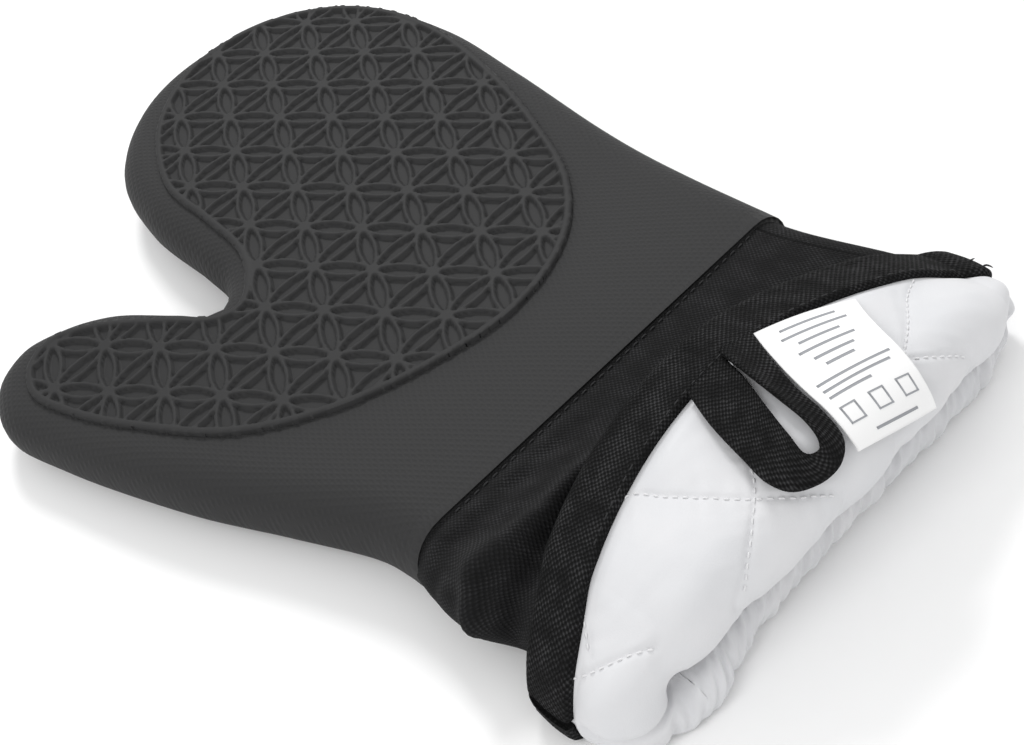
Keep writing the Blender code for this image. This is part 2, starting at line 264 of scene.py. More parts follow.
# Unit normals pointing to the right of the direction of travel.
def sideNormals(path, closed):
    if closed:
        ahead = np.roll(path, -1, 0) - np.roll(path, 1, 0)
    else:
        ahead = np.gradient(path, axis=0)
    ahead = ahead / np.linalg.norm(ahead, axis=1)[:, None]
    return np.stack([ahead[:, 1], -ahead[:, 0]], 1)


# Shortest distance from each point to a polyline, in blocks to keep memory small.
def distanceTo(points, path, closed):
    a = path
    b = np.roll(path, -1, 0) if closed else path[1:]
    a = a if closed else a[:-1]
    ab = b - a
    length2 = (ab * ab).sum(1)
    out = np.empty(len(points))
    for start in range(0, len(points), 4000):
        q = points[start:start + 4000, None, :]
        t = np.clip(((q - a) * ab).sum(-1) / length2, 0, 1)
        near = q - a - t[..., None] * ab
        out[start:start + 4000] = np.sqrt((near * near).sum(-1).min(1))
    return out


# Even-odd test of each point against a closed polygon.
def insidePolygon(points, polygon):
    inside = np.zeros(len(points), bool)
    x, y = points[:, 0], points[:, 1]
    for (x0, y0), (x1, y1) in zip(polygon, np.roll(polygon, -1, 0)):
        if y0 == y1:
            continue
        hit = (y0 > y) != (y1 > y)
        inside ^= hit & (x < (x1 - x0) * (y - y0) / (y1 - y0) + x0)
    return inside


# Mitt thickness: thinner at the thumb, thicker towards the cuff.
def thicknessAt(x, y):
    h = handShape
    thumb = smooth(-x, *h["thumbX"]) * smooth(y, *h["thumbY"])
    thick = mix(palmTop, h["cuffThickness"], smooth(-y, h["cuffFrom"], h["cuffTo"]))
    return thick + (h["thumbThickness"] - palmTop) * thumb


# A triangular lattice over a plan box: each row is shifted half a step from the last. Returns the
# points and how many rows and columns they stand in.
def staggered(low, high, spacing):
    ys = np.arange(low[1], high[1], spacing * 0.866)
    xs = np.arange(low[0], high[0], spacing)
    gx, gy = np.meshgrid(xs, ys)
    gx = gx + (np.arange(len(ys)) % 2)[:, None] * spacing / 2
    return np.stack([gx.ravel(), gy.ravel()], 1), len(ys), len(xs)


# Triangles filling a plan loop: lattice points inside it, joined to the loop's own points.
def fillInside(loop, spacing):
    lattice = staggered(loop.min(0), loop.max(0), spacing)[0]
    lattice = lattice[insidePolygon(lattice, loop)]
    lattice = lattice[distanceTo(lattice, loop, True) > spacing * 0.45]
    every = np.vstack([loop, lattice])
    n = len(loop)
    edges = [(i, (i + 1) % n) for i in range(n)]
    result = delaunay_2d_cdt([Vector(p) for p in every.tolist()], edges, [], 1, 1e-6)
    points = np.array([tuple(v) for v in result[0]])
    return points, np.array([f for f in result[2] if len(f) == 3])


# Outer surface of the hand, that deep in: a half-round swept round the outline, then the flat top
# and bottom filled in. Returns points, faces and the open edge's order.
def bagOutside(inset, spacing, rounds, endY):
    path = curveThrough(handShape["outline"], spacing, False)
    path = path[path[:, 1] >= endY]
    path[0, 1] = path[-1, 1] = endY
    normal = -sideNormals(path, False)
    normal[0], normal[-1] = (-1, 0), (1, 0)
    radius = palmTop / 2
    angles = np.linspace(math.pi / 2, -math.pi / 2, rounds)
    power = 2 / handShape["edgePower"]
    # cross section: a superellipse, so across = cos^power and height = sin^power
    across = np.abs(np.cos(angles)) ** power
    across[0] = across[-1] = 0
    rise = np.sign(np.sin(angles)) * np.abs(np.sin(angles)) ** power
    depthIn = radius - (radius - inset) * across
    plan = path[None] + normal[None] * depthIn[:, None, None]
    plan[:, 0, 1] = plan[:, -1, 1] = endY
    thick = thicknessAt(plan[..., 0], plan[..., 1])
    z = thick / 2 + rise[:, None] * (thick / 2 - inset)
    sides = np.concatenate([plan, z[..., None]], -1)
    loop = plan[0]
    gap = np.linspace(loop[-1], loop[0], int(np.linalg.norm(loop[-1] - loop[0]) / spacing) + 1)[1:-1]
    flat, triangles = fillInside(np.vstack([loop, gap]), spacing)
    order = np.argmin(((flat[None, :, :] - np.vstack([loop, gap])[:, None, :]) ** 2).sum(-1), 1)
    thickFlat = thicknessAt(flat[:, 0], flat[:, 1])
    top = np.column_stack([flat, thickFlat - inset])
    bottom = np.column_stack([flat, np.full(len(flat), float(inset))])
    columns = len(path)
    points = np.vstack([top, bottom, sides[1:-1].reshape(-1, 3)])
    n = len(flat)
    middle = (2 * n + np.arange((rounds - 2) * columns)).reshape(rounds - 2, columns)
    rows = np.vstack([order[:columns], middle, order[:columns] + n])
    quads = np.stack([rows[:-1, :-1], rows[1:, :-1], rows[1:, 1:], rows[:-1, 1:]], -1).reshape(-1, 4)
    edge = np.concatenate([rows[:, 0], order[columns:][::-1] + n, rows[::-1, -1], order[columns:]])
    return points, [triangles, triangles[:, ::-1] + n, quads], edge


# A closed bag: outer skin, inner skin and the rim that joins them at the cuff.
def buildBag(name, inset, wall, spacing, rounds, endY, material):
    outer, faces, edge = bagOutside(inset, spacing, rounds, endY)
    inner, innerFaces, innerEdge = bagOutside(inset + wall, spacing, rounds, endY)
    n = len(outer)
    faces = faces + [f[:, ::-1] + n for f in innerFaces]
    rim = np.stack([edge, np.roll(edge, -1), np.roll(innerEdge, -1) + n, innerEdge + n], 1)
    faces.append(rim)
    return makeMesh(name, np.vstack([outer, inner]), faces, material)


print("hand")
shell = buildBag("shellHand", 0.0, 2.0, 3.0, 15, handShape["endY"], siliconeMaterial)
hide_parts("silicone_shell")

gripShape = {
    "pitch": 20.0,  # from one node of the pattern to the next, and the circles' radius
    "spacing": 0.58,  # of the mesh
    "floor": 0.1, "ridge": 1.5, "ridgeHalf": 0.78, "ridgeSlope": 0.5, "hub": 2.7, "hubSlope": (0.6, 0.5),
    "rimHalf": 1.3, "rimHeight": 1.7, "rimSlope": (0.5, 0.3), "rimRound": 1.3, "rimWall": 0.62,
    "foot": 19.0,  # height of the panel's underside, inside the shell's wall
}


# Height of the grip pattern above its floor: circles of the pitch's radius round every node of a
# triangular lattice, with a small hub at each node and a ridge round the border.
def reliefHeight(plan, border):
    a = gripShape["pitch"]
    row = np.round(plan[:, 1] / (a * math.sqrt(3) / 2)).astype(int)
    nearest = np.full(len(plan), 1e9)
    hub = np.full(len(plan), 1e9)
    for dr in (-2, -1, 0, 1, 2):
        r = row + dr
        y = r * a * math.sqrt(3) / 2
        x0 = np.round((plan[:, 0] - r * a / 2) / a)
        for dc in (-2, -1, 0, 1, 2):
            x = (x0 + dc) * a + r * a / 2
            away = np.hypot(plan[:, 0] - x, plan[:, 1] - y)
            nearest = np.minimum(nearest, np.abs(away - a))
            hub = np.minimum(hub, away)
    g = gripShape
    ridge = 1 - smooth(nearest, g["ridgeHalf"] - g["ridgeSlope"] / 2, g["ridgeHalf"] + g["ridgeSlope"] / 2)
    ridge = np.maximum(ridge, 1 - smooth(hub, g["hub"] - g["hubSlope"][0], g["hub"] + g["hubSlope"][1]))
    toBorder = distanceTo(plan, border, True)
    rim = 1 - smooth(toBorder, 2 * g["rimHalf"] - g["rimSlope"][0], 2 * g["rimHalf"] + g["rimSlope"][1])
    rounding = np.clip(toBorder / g["rimRound"], 0, 1)
    rim = rim * mix(g["rimWall"], 1, np.sqrt(1 - (1 - rounding) ** 2))
    return g["floor"] + np.maximum(ridge * g["ridge"], rim * g["rimHeight"])


# The patterned panel: a fine lattice clipped to the border, standing on the shell.
def buildGrip():
    border = curveThrough(handShape["border"], 0.7, True)
    plan, rows, columns = staggered(border.min(0) - 2, border.max(0) + 2, gripShape["spacing"])
    r = np.arange(rows - 1)[:, None]
    c = np.arange(columns - 1)[None, :]
    p00, p01 = r * columns + c, r * columns + c + 1
    p10, p11 = p00 + columns, p01 + columns
    odd = np.broadcast_to(r % 2 == 1, p00.shape)[..., None]
    first = np.where(odd, np.stack([p00, p01, p11], -1), np.stack([p00, p01, p10], -1))
    second = np.where(odd, np.stack([p00, p11, p10], -1), np.stack([p01, p11, p10], -1))
    triangles = np.concatenate([first.reshape(-1, 3), second.reshape(-1, 3)])
    centre = plan[triangles].mean(1)
    triangles = triangles[insidePolygon(centre, border)]
    used, inverse = np.unique(triangles, return_inverse=True)
    triangles = inverse.reshape(-1, 3)
    plan = plan[used]
    directed = np.concatenate([triangles[:, [0, 1]], triangles[:, [1, 2]], triangles[:, [2, 0]]])
    code = directed[:, 0] * len(plan) + directed[:, 1]
    back = directed[:, 1] * len(plan) + directed[:, 0]
    rimEdges = directed[~np.isin(code, back)]
    rimPoints = np.unique(rimEdges)
    # the lattice's outermost points are moved onto the border itself
    fine = curveThrough(handShape["border"], 0.15, True)
    gapTo = fine[None] - plan[rimPoints][:, None]
    plan[rimPoints] += gapTo[np.arange(len(rimPoints)), (gapTo**2).sum(-1).argmin(1)]
    z = thicknessAt(plan[:, 0], plan[:, 1]) + reliefHeight(plan, border)
    top = np.column_stack([plan, z])
    lower = np.full(len(plan), -1)
    lower[rimPoints] = len(plan) + np.arange(len(rimPoints))
    rimLow = np.column_stack([plan[rimPoints], np.full(len(rimPoints), gripShape["foot"])])
    wall = np.stack([rimEdges[:, 1], rimEdges[:, 0], lower[rimEdges[:, 0]], lower[rimEdges[:, 1]]], 1)
    following = dict(zip(rimEdges[:, 0].tolist(), rimEdges[:, 1].tolist()))
    start = int(rimEdges[0, 0])
    loop = [start]
    while following[loop[-1]] != start and len(loop) <= len(rimEdges):
        loop.append(following[loop[-1]])
    base = lower[np.array(loop)][::-1]
    return makeMesh("gripPanel", np.vstack([top, rimLow]), [triangles, wall, base[None]], gripMaterial)


print("grip relief")
grip = buildGrip()
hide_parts("silicone_shell")

# The turned-back cuff. Inside the shell it follows the shell; outside, the mouth.
cuffShape = {
    "startY": -112.0,
    "shellCentreX": 11.5, "shellCore": 62.5, "shellInset": 1.3,
    "mouthLeft": -40.0, "mouthRight": 92.5, "slit": 1.6, "pouch": 12.0, "mouthZ": 16.5, "mouthDrop": 5.5,
    "flare": 4.0, "flareAt": (1.6, 2.4),
    "middleX": 22.8, "halfWidth": 74.0, "endLeft": 2.2, "endRight": 1.9,
    "radiusTop": 13.5, "radiusTopEnd": 6.2, "radiusSide": 6.4, "radiusPouch": 11.0, "radiusUnder": 6.6,
    "taper": 2.5, "taperAt": (76, 100),
    "lipTop": -189.5, "lipUnder": -190.0, "lipBow": 7.0,
    "bulge": 7.0, "recede": -0.5, "bulgeX": -42.0, "bulgeWide": 17.0,
    "edgeTop": -146.0, "edgeUnder": -161.0, "edgeUnderLeft": -170.0,
    "edgeBow": 19.0, "bowPower": 2.2, "edgeBowRight": 29.0, "bowPowerRight": 1.5,
    "edgeDrop": 5.0, "edgeDropUnder": 1.5,
    "depth": 5.6, "pinch": 2.4, "tape": 12.5,
    "leaveShell": (0.12, 0.8), "slack": 9.0, "slackFrom": (0.06, 0.5), "slackTo": (0.6, 0.95),
    "layerRest": 0.3, "layerStep": 0.15,
}
straightSteps, capSteps = 170, 34


# Round the cuff: how far along the straight core, and the outward direction.
def ringPlaces(straight, cap):
    run = np.linspace(1, -1, straight, endpoint=False)
    turn = np.linspace(0, math.pi, cap, endpoint=False)
    core = np.concatenate([run, -np.ones(cap), -run, np.ones(cap)])
    nx = np.concatenate([0 * run, -np.sin(turn), 0 * run, np.sin(turn)])
    nz = np.concatenate([0 * run + 1, np.cos(turn), 0 * run - 1, -np.cos(turn)])
    return np.stack([core, nx, nz], 1)


# Places on the cuff's upper side at those x.
def topPlaces(x):
    left, right = cuffShape["mouthLeft"], cuffShape["mouthRight"]
    core = (np.asarray(x, float) - left) / (right - left) * 2 - 1
    return np.stack([core, 0 * core, 0 * core + 1], -1)


# Holds heights above a rest height, with a soft bend: rest + log(1 + e^(1.4 (z - rest))) / 1.4.
def offTable(z, rest):
    return rest + np.logaddexp(0, (z - rest) * 1.4) / 1.4


# Points of the cuff. station runs 0 to 1 from inside the shell to the lip, 1 to 2 round the lip on a
# half circle and 2 to 3 back to the bound edge; depth is below the cotton face. Each point is its
# core's middle plus its outward direction times its rise off the slit, the two wraps blended.
def cuffPoints(places, station, depth):
    c = cuffShape
    core, nx, nz = places[..., 0], places[..., 1], places[..., 2]
    station, depth = np.broadcast_arrays(station, depth)
    middle, half = (c["mouthLeft"] + c["mouthRight"]) / 2, (c["mouthRight"] - c["mouthLeft"]) / 2
    spread = middle + core * half + np.minimum(nx, 0) * c["pouch"]
    across = (spread - c["middleX"]) / c["halfWidth"]  # -1 at the left end to 1 at the right
    up, down = np.maximum(nz, 0) ** 2, np.maximum(-nz, 0) ** 2
    lateral = np.abs(across * 0.85 + nx * 0.15)
    over = (1 + nz) / 2
    left = np.clip(-across, 0, 1) ** 4
    end = np.abs(across) ** np.where(across > 0, c["endRight"], c["endLeft"])
    # radius of the roll: fat in the middle of the top, thin at the ends and underneath
    side = np.where(core > 0, c["radiusSide"], c["radiusPouch"])
    radius = side + (mix(c["radiusTop"], c["radiusTopEnd"], end) - side) * up
    radius = radius + (c["radiusUnder"] - side) * down
    radius = radius - c["taper"] * smooth(spread + 8 * np.maximum(nx, 0), *c["taperAt"])
    # where the lip and the bound edge lie along the mitt
    lipY = mix(c["lipUnder"], c["lipTop"], over) + c["lipBow"] * lateral ** 5
    swell = np.exp(-((spread - c["bulgeX"]) / c["bulgeWide"]) ** 2)
    lipY = lipY + swell * mix(-c["bulge"], c["recede"], over)
    bow = np.where(across > 0, c["edgeBowRight"] * lateral ** c["bowPowerRight"],
                   c["edgeBow"] * lateral ** c["bowPower"])
    edgeY = mix(mix(c["edgeUnder"], c["edgeUnderLeft"], left), c["edgeTop"] - bow, over)
    tapeY = edgeY - c["tape"]
    inward, turning = np.clip(station, 0, 1), np.clip(station - 1, 0, 1)
    back = np.clip(station - 2, 0, 1)
    beyond = np.clip(station - 3, 0, None) * c["tape"] * 2
    runY = np.where(back < 0.5, mix(lipY, tapeY, back * 2), mix(tapeY, edgeY, back * 2 - 1)) + beyond
    y = np.where(station < 1, mix(c["startY"], lipY, inward),
                 np.where(station < 2, lipY - (radius - depth) * np.sin(math.pi * turning), runY))
    # how far each point stands off the slit
    drop = (c["edgeDrop"] * up * (1 - end) + c["edgeDropUnder"] * down) * smooth(back, 0, 1)
    pinched = depth - c["pinch"] * smooth(back, 0.1, 0.5) * np.clip(depth / 5, 0, 1)
    rise = np.where(station < 1, depth,
                    np.where(station < 2, radius - (radius - depth) * np.cos(math.pi * turning),
                             2 * radius - drop - pinched))
    mouthX = middle + core * half + nx * (c["slit"] + rise)
    mouthX = mouthX - c["flare"] * left * smooth(-nz, -0.3, 0.6) * smooth(station, *c["flareAt"])
    mouthHeight = c["mouthZ"] - c["mouthDrop"] * end + nz * (c["slit"] + rise)
    inset = c["shellInset"] + c["depth"] - depth
    thick = handShape["cuffThickness"]
    shellX = c["shellCentreX"] + core * c["shellCore"] + nx * (palmTop / 2 - inset)
    shellHeight = thick / 2 + nz * (thick / 2 - inset)
    near = smooth(station, *c["leaveShell"])
    slack = smooth(station, *c["slackFrom"]) * (1 - smooth(station, *c["slackTo"]))
    x = mix(shellX, mouthX, near) + c["slack"] * np.minimum(nx, 0) * slack
    z = offTable(mix(shellHeight, mouthHeight, near), c["layerRest"] + c["layerStep"] * depth)
    return np.stack([x, y + 0 * near, z], -1)


# Gives every corner its point's own coordinates, in centimetres.
def addUv(obj, uv):
    mesh = obj.data
    corners = np.empty(len(mesh.loops), int)
    mesh.loops.foreach_get("vertex_index", corners)
    layer = mesh.uv_layers.new(name="weave")
    layer.data.foreach_set("uv", (uv[corners] * 0.1).ravel())


# Running length along one axis of a grid of points, from 0.
def runAlong(grid, axis):
    steps = np.linalg.norm(np.diff(grid, axis=axis), axis=2)
    start = np.zeros((1, grid.shape[1]) if axis == 0 else (grid.shape[0], 1))
    return np.concatenate([start, np.cumsum(steps, axis)], axis)


# A ring of cloth from two grids of points, front and back, both rows by places; capped at its ends
# where the ring is open. The cloth's own coordinates are its middle running lengths each way.
def ringSheet(name, front, back, material, closed=True):
    grid = np.vstack([front, back[::-1]])
    rows, columns = grid.shape[:2]
    faces = [gridFaces(rows, columns, closedRows=True, closedColumns=closed, flip=True)]
    if not closed:
        faces += [np.arange(rows)[None, ::-1] * columns, (np.arange(rows) * columns + columns - 1)[None]]
    made = makeMesh(name, grid.reshape(-1, 3), faces, material)
    across, along = runAlong(grid, 0), runAlong(grid, 1)
    uv = [np.median(along, 0)[None] + 0 * along, np.median(across, 1)[:, None] + 0 * across]
    addUv(made, np.stack(uv, -1).reshape(-1, 2))
    return made


# Unit normals of a grid that closes on itself sideways: down the rows cross along the columns.
def surfaceNormals(grid):
    normal = np.cross(np.gradient(grid, axis=0), np.roll(grid, -1, 1) - np.roll(grid, 1, 1))
    return normal / np.maximum(np.linalg.norm(normal, axis=2), 1e-9)[..., None]


# A smooth irregular wave: a sum of sines of seeded lengths and phases, about -1 to 1.
def waves(x, seed, longest, shortest, count=7):
    rng = np.random.default_rng(seed)
    total = 0 * x
    for size in np.geomspace(longest, shortest, count):
        share = rng.uniform(0.5, 1)
        sine = np.sin(2 * math.pi * x / size + rng.uniform(0, 6.28))
        total = total + share * sine * (size / longest) ** 0.4
    return total / (count * 0.45)


# Seams are stops of x and station on the upper side; the pouch's are stops of x and y.
quiltShape = {
    "seams": [
        [(-24, 2.56), (-19.1, 2.476), (-15.2, 2.315), (-9.9, 2.127), (-4.9, 1.965), (2.4, 1.782),
         (12.7, 1.535)],
        [(9, 2.3), (-0.9, 2.038), (-10.5, 1.871), (-15.5, 1.78), (-20.1, 1.675), (-24.8, 1.531)],
        [(81, 2.56), (71.6, 2.323), (60, 2.076), (49.1, 1.914), (45.8, 1.85), (36.2, 1.65), (32, 1.55)],
        [(30, 2.3), (40, 2.1), (49.1, 1.91), (58.7, 1.756), (66.7, 1.599)],
    ],
    "pouchSeams": [
        [(-62.5, -174.5), (-59.4, -178.2), (-55.6, -182), (-51.2, -185.6), (-46.8, -189.2), (-43.2, -192.4)],
        [(-36, -160), (-40.5, -164.5), (-46.5, -170.5), (-52.9, -177.4), (-54.5, -179.4)],
    ],
    "puff": 2.7, "sink": 0.4, "reach": 9.5, "groove": 0.5, "grooveWide": 0.9,
    "pucker": 0.26, "puckerReach": 3.0, "puckerStart": 0.8,
    "curlAt": -0.12, "curlWide": 0.1, "curlDeep": 2.2,
    "gather": 1.15, "gatherSink": 0.4, "gatherSlant": 5.0, "wrinkle": 0.48,
    "rightEnd": (72, 96), "rightFlat": 0.75, "rest": 0.2, "backDepth": 1.9,
}


# The quilting seams as plan curves in millimetres.
def seamPaths():
    paths = []
    for stops in quiltShape["seams"]:
        stops = np.array(stops)
        on = cuffPoints(topPlaces(stops[:, 0]), stops[:, 1], np.zeros(len(stops)))
        paths.append(curveThrough(on[:, :2], 0.5, False))
    return paths + [curveThrough(stops, 0.5, False) for stops in quiltShape["pouchSeams"]]


# The cuff's cotton: puffed between its quilting seams, gathered on the lower roll.
def buildLining():
    q = quiltShape
    places = ringPlaces(250, 60)
    stations = np.concatenate([np.linspace(0, 0.7, 12), np.linspace(0.74, 0.98, 18), np.linspace(1, 2, 100),
                               np.linspace(2.01, 2.5, 60), [2.6, 2.8, 3.0]])
    grid = cuffPoints(places[None], stations[:, None], np.zeros((1, 1)))
    normal = surfaceNormals(grid)
    x, y = grid[..., 0], grid[..., 1]
    s = stations[:, None] + 0 * x
    nz = places[None, :, 2] + 0 * s
    plan = grid[..., :2].reshape(-1, 2)
    # puff: a share of the full height for each seam, 1 - e^-(distance/reach)^1.5, multiplied together
    puff, pucker, groove = 1 + 0 * s, 0 * s, 0 * s
    for k, path in enumerate(seamPaths()):
        away = distanceTo(plan, path[::3], False).reshape(s.shape)
        puff = puff * (1 - np.exp(-(away / q["reach"]) ** 1.5))
        groove = np.maximum(groove, np.exp(-(away / q["grooveWide"]) ** 2))
        beside = np.exp(-away / q["puckerReach"]) * (1 - np.exp(-away / q["puckerStart"]))
        pucker = pucker + beside * waves(x + (k % 2 * 2 - 1) * y, 40 + k, 11, 5, 4)
    height = mix(-q["sink"], q["puff"], puff) + q["pucker"] * pucker - q["groove"] * groove
    # gathers: two irregular waves across the lower roll, slanted a little along it
    gatherZone = smooth(-nz, 0.15, 0.8) * smooth(s, 0.75, 1.0) * (1 - smooth(s, 1.8, 2.1))
    skew = x + q["gatherSlant"] * (s - 1.3)
    gathers = waves(skew, 5, 13, 3.4, 7) * 0.8 + 0.5 * waves(skew + 7 * s, 8, 7, 3, 4)
    height = mix(height, gathers * q["gather"] - q["gatherSink"], gatherZone)
    # wrinkles: two slanting waves multiplied together, so they come and go
    wrinkles = waves(x * 0.8 + y * 0.7, 11, 31, 8, 5) * waves(y * 0.9 - x * 0.4, 12, 37, 9, 5)
    height = height + q["wrinkle"] * wrinkles
    # the end of the upper roll is tucked over the lower one: a curling crease round the left end
    curl = np.exp(-((nz - q["curlAt"]) / q["curlWide"]) ** 2) * (places[None, :, 1] < -0.3)
    height = height - q["curlDeep"] * curl * smooth(s, 0.95, 1.15) * (1 - smooth(s, 2.2, 2.5))
    height = height * (1 - q["rightFlat"] * smooth(x, *q["rightEnd"]) * smooth(nz, -0.5, 0.3))
    shown = smooth(s, 0.72, 0.95) * (1 - smooth(s, 2.4, 2.5))
    grid = grid + normal * (height * shown)[..., None]
    grid[..., 2] = offTable(grid[..., 2], q["rest"])
    backStations = np.array([0, 0.3, 0.6, 0.8, 0.95, 1.1, 1.3, 1.5, 1.7, 1.9, 2.1, 2.3, 2.5, 2.75, 3.0])
    back = cuffPoints(places[None], backStations[:, None], np.full((1, 1), q["backDepth"]))
    return ringSheet("cuffLining", grid[:, ::-1], back[:, ::-1], cottonMaterial)


print("cuff lining")
lining = buildLining()
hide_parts("cuff_lining")


foldShape = {
    "ridgeAt": [(-70, -150), (-66, -147.5), (-60.6, -143.5), (-54, -138.5), (-46, -141), (-32, -143),
                (-17, -142.5), (10, -141)],
    "hollowAt": [(-66, -158), (-53.3, -151.5), (-43.6, -149), (-28, -147), (-10, -146.5)],
    "valleyAt": -130.0, "slack": 2.4, "ridge": 5.2, "ridgeWide": 3.4, "valley": 2.6, "valleyWide": 4.5,
    "hollow": 4.0, "hollowWide": 3.6, "ripple": 0.5,
    "from": 16.0, "to": -30.0, "sides": 0.12,
}


# How far the slack canvas stands off at the left: a ridge along the tape with a hollow on each side,
# each of them a bell curve, e^-(distance/width)^2, across its line.
def foldHeight(grid, nz):
    f = foldShape
    ridgeAt, hollowAt = np.array(f["ridgeAt"]), np.array(f["hollowAt"])
    x, y = grid[..., 0], grid[..., 1]
    fromRidge = y - np.interp(x, ridgeAt[:, 0], ridgeAt[:, 1])
    fromHollow = y - np.interp(x, hollowAt[:, 0], hollowAt[:, 1])
    height = f["slack"] + f["ridge"] * np.exp(-(fromRidge / f["ridgeWide"]) ** 2)
    height = height - f["valley"] * np.exp(-((y - f["valleyAt"]) / f["valleyWide"]) ** 2)
    height = height - f["hollow"] * np.exp(-(fromHollow / f["hollowWide"]) ** 2)
    height = height + f["ripple"] * waves(x * 0.6 + y, 22, 19, 7, 4)
    height = height * smooth(-x, -f["from"], -f["to"]) * smooth(-y, 123.5, 129)
    return height * mix(f["sides"], 1, smooth(nz, -0.1, 0.6)) * smooth(nz, -0.6, 0.1)


# A ring of cloth between two depths below the cotton face, from inside the shell to the bound edge.
def plainRing(name, low, high, material, folds=False):
    places = ringPlaces(180, 36) if folds else ringPlaces(70, 14)
    inward = np.linspace(0, 1, 76 if folds else 24)
    stations = np.concatenate([inward, np.linspace(1.08, 1.92, 12), np.linspace(2, 3, 16)])
    front = cuffPoints(places[None], stations[:, None], np.full((1, 1), low))
    back = cuffPoints(places[None], stations[:, None], np.full((1, 1), high))
    if folds:
        nearShell = (1 - smooth(stations, 0.7, 0.95))[:, None]
        lift = surfaceNormals(back) * (foldHeight(back, places[None, :, 2]) * nearShell)[..., None]
        back, front = back - lift, front - lift
    return ringSheet(name, front[:, ::-1], back[:, ::-1], material)


print("cuff canvas and wadding")
canvas = plainRing("cuffCanvas", 4.7, 5.6, canvasMaterial, True)
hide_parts("cuff_canvas")
wadding = plainRing("cuffWadding", 2.3, 3.2, waddingMaterial)
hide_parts("cuff_wadding")

# How far the tape stands off the cotton on its face and how deep it goes underneath.
tapeShape = {"thick": 1.9, "lift": 0.5, "under": 5.0, "pillow": 0.5, "waver": 0.3}


# The edge tape: over the quilt's edge, rounded round it, and back underneath.
def buildTape(name, places):
    t = tapeShape
    run = np.concatenate([[2.5, 2.503, 2.51, 2.522, 2.54, 2.56], np.linspace(2.59, 3.0, 13)])
    steps = len(run)
    turn = np.linspace(0, math.pi, 17)[1:-1]
    reach = np.concatenate([run, 3 + 0.16 * np.sin(turn), run[::-1]])
    rounded = np.sqrt(1 - (1 - np.clip((run - 2.5) / 0.05, 0, 1)) ** 2)
    face = t["lift"] + t["thick"] * rounded + t["pillow"] * np.sin((run - 2.5) * 2 * math.pi)
    outer = np.concatenate([-face, mix(-face[-1], t["under"] + t["thick"], (1 - np.cos(turn)) / 2),
                            np.full(steps, t["under"] + t["thick"])])
    inner = np.concatenate([np.full(steps, -0.1), mix(-0.1, t["under"], (1 - np.cos(turn)) / 2),
                            np.full(steps, t["under"])])
    around = np.arange(len(places)) * 0.9
    waver = waves(around, 31, 40, 6, 7) * t["waver"]
    outer = outer[:, None] - waver[None] * (reach < 3)[:, None]
    front = cuffPoints(places[None], reach[:, None] + 0.012 * waver[None], outer)
    back = cuffPoints(places[None], np.minimum(reach, 3.0)[:, None], inner[:, None])
    return ringSheet(name, front[:, ::-1], back[:, ::-1], tapeMaterial, closed=False)


print("edge tape")
everyPlace = ringPlaces(straightSteps, capSteps)
n = len(everyPlace)
leftJoin = straightSteps + capSteps // 2
rightJoin = 2 * straightSteps + capSteps + capSteps // 2
tapeOver = buildTape("tapeOver", np.roll(everyPlace, n - rightJoin, 0)[:leftJoin + n - rightJoin + 1])
tapeUnder = buildTape("tapeUnder", everyPlace[leftJoin + 1:rightJoin])
for obj, node in ((tapeOver, "binding_over"), (tapeUnder, "binding_under")):
    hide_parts(node)

print("hand layers")
layerFinish = {"handWadding": ("hand_wadding", waddingMaterial, "wadding"),
               "handLining": ("hand_lining", cottonMaterial, "cotton")}
for name, inset, wall in handShape["layers"]:
    node, material, slot = layerFinish[name]
    bag = buildBag(name, inset, wall, 5.0, 9, handShape["layersEndY"], material)
    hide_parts(node)


# Points of the cuff with their outward normals, from small steps each way.
def cuffFrame(places, station, depth):
    nudge = np.zeros(places.shape[-1])
    nudge[0] = 0.004
    point = cuffPoints(places, station, depth)
    along = cuffPoints(places + nudge, station, depth) - cuffPoints(places - nudge, station, depth)
    down = cuffPoints(places, station + 0.004, depth) - cuffPoints(places, station - 0.004, depth)
    normal = np.cross(along, down)
    normal /= np.linalg.norm(normal, axis=-1)[..., None]
    return point, normal


# A ring of directions round each point: side cos + up sin.
def ringRound(side, up, sides):
    turn = np.arange(sides)[:, None] * 2 * math.pi / sides
    return side[..., None, :] * np.cos(turn) + up[..., None, :] * np.sin(turn)


stitchRings, stitchSides = 7, 6


# Stitches along a path: short fat threads that rise in the middle and dive at both ends.
def stitchRun(path, normals, pitch, length, radius):
    along = np.concatenate([[0], np.cumsum(np.linalg.norm(np.diff(path, axis=0), axis=1))])
    middles = np.arange(pitch / 2, along[-1] - pitch / 2, pitch)
    t = np.linspace(-1, 1, stitchRings)
    spots = middles[:, None] + t[None] * length / 2
    centre = np.stack([np.interp(spots, along, path[:, k]) for k in range(3)], -1)
    up = np.stack([np.interp(spots, along, normals[:, k]) for k in range(3)], -1)
    ahead = np.gradient(centre, axis=1)
    ahead /= np.linalg.norm(ahead, axis=-1)[..., None]
    side = np.cross(ahead, up)
    side /= np.linalg.norm(side, axis=-1)[..., None]
    centre = centre + up * (radius * (0.9 - 1.5 * t**4))[None, :, None]
    fat = radius * np.sqrt(np.clip(1.03 - t**8, 0.03, 1))
    ring = ringRound(side, up, stitchSides)
    points = centre[:, :, None] + ring * fat[None, :, None, None]
    return points.reshape(-1, 3), len(middles)


